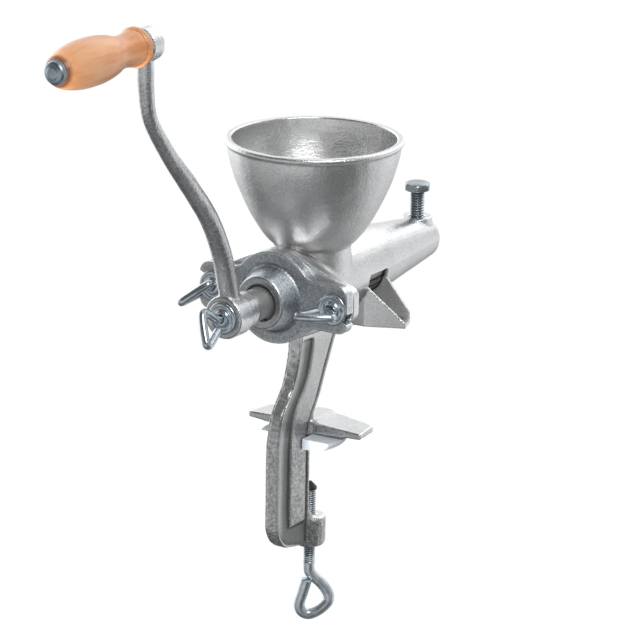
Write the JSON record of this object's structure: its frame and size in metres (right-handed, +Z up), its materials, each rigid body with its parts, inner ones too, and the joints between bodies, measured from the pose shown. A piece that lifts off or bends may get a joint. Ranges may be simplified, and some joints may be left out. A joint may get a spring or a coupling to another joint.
{
  "type": "fruit press",
  "caption": "Hand-cranked fruit press: cast hopper body with table clamp, auger and sieve, side juice spout, pulp outlet with regulating screw, S-shaped crank with wooden grip.",
  "frame": {"origin": "on the clamp screw axis, at the table face of the pad under the jaw", "axes": "+Z up along the clamp screw, +Y back along the shaft towards the outlet, +X towards the side with the juice spout"},
  "size_m": [0.1146, 0.4147, 0.4344],
  "materials": {
    "cast_body": "sand cast, tumbled",
    "cast_cover": "sand cast, tumbled",
    "cast_auger": "sand cast, turned shaft",
    "cast_crank": "tinned, rubbed",
    "zinc_steel": "bright zinc plate",
    "dark_steel": "plain steel",
    "sieve_steel": "punched sheet",
    "beech": "turned and lacquered",
    "pad_plastic": "moulded",
    "thrust_plastic": "moulded",
    "tip_plastic": "moulded"
  },
  "bodies": {
    "body": {"housing": "cast_body", "front_cover": "cast_cover", "sieve": "sieve_steel", "thrust_washer": "thrust_plastic", "jaw_pad": "pad_plastic"},
    "crank": {"auger": "cast_auger", "crank_arm": "cast_crank", "handle_bolt": "zinc_steel", "handle_washer": "zinc_steel", "handle_nut": "dark_steel"},
    "grip": {"handle_grip": "beech"},
    "hub_washer": {"crank_washer": "zinc_steel"},
    "hub_screw": {"crank_screw": "zinc_steel"},
    "left_washer": {"cover_washer_left": "zinc_steel"},
    "left_screw": {"cover_screw_left": "zinc_steel"},
    "right_washer": {"cover_washer_right": "zinc_steel"},
    "right_screw": {"cover_screw_right": "zinc_steel"},
    "regulator": {"regulating_screw": "zinc_steel"},
    "tip": {"clamp_tip": "tip_plastic"},
    "clamp": {"clamp_screw": "zinc_steel"}
  },
  "joints": [
    {"name": "crank_turn", "type": "hinge", "parent": "body", "child": "crank", "pos_m": [0, -0.07, 0.107], "axis": [0, 1, 0], "continuous": true},
    {"name": "grip_spin", "type": "hinge", "parent": "crank", "child": "grip", "pos_m": [0, -0.23, 0.297], "axis": [0, 1, 0], "continuous": true},
    {"name": "hub_screw_out", "type": "slide", "parent": "crank", "child": "hub_washer", "axis": [0, -1, 0], "range_m": [0, 0.004]},
    {"name": "hub_screw_turn", "type": "hinge", "parent": "hub_washer", "child": "hub_screw", "pos_m": [0, -0.105, 0.107], "axis": [0, -1, 0], "range_deg": [0, 1440]},
    {"name": "left_screw_out", "type": "slide", "parent": "body", "child": "left_washer", "axis": [0, -1, 0], "range_m": [0, 0.004]},
    {"name": "left_screw_turn", "type": "hinge", "parent": "left_washer", "child": "left_screw", "pos_m": [-0.045, -0.05, 0.107], "axis": [0, -1, 0], "range_deg": [0, 1440]},
    {"name": "right_screw_out", "type": "slide", "parent": "body", "child": "right_washer", "axis": [0, -1, 0], "range_m": [0, 0.004]},
    {"name": "right_screw_turn", "type": "hinge", "parent": "right_washer", "child": "right_screw", "pos_m": [0.045, -0.05, 0.107], "axis": [0, -1, 0], "range_deg": [0, 1440]},
    {"name": "regulate", "type": "slide", "parent": "body", "child": "regulator", "axis": [0, 0, 1], "range_m": [-0.011, 0.012]},
    {"name": "clamp_travel", "type": "slide", "parent": "body", "child": "tip", "axis": [0, 0, 1], "range_m": [-0.015, 0.009]},
    {"name": "clamp_turn", "type": "hinge", "parent": "tip", "child": "clamp", "pos_m": [0, 0, -0.06], "axis": [0, 0, 1], "range_deg": [-4320, 2592]}
  ],
  "couplings": [
    {"joint": "hub_screw_out", "follows": "hub_screw_turn", "m_per_rad": 0.00015915},
    {"joint": "left_screw_out", "follows": "left_screw_turn", "m_per_rad": 0.00015915},
    {"joint": "right_screw_out", "follows": "right_screw_turn", "m_per_rad": 0.00015915},
    {"joint": "clamp_travel", "follows": "clamp_turn", "m_per_rad": 0.00019894}
  ]
}
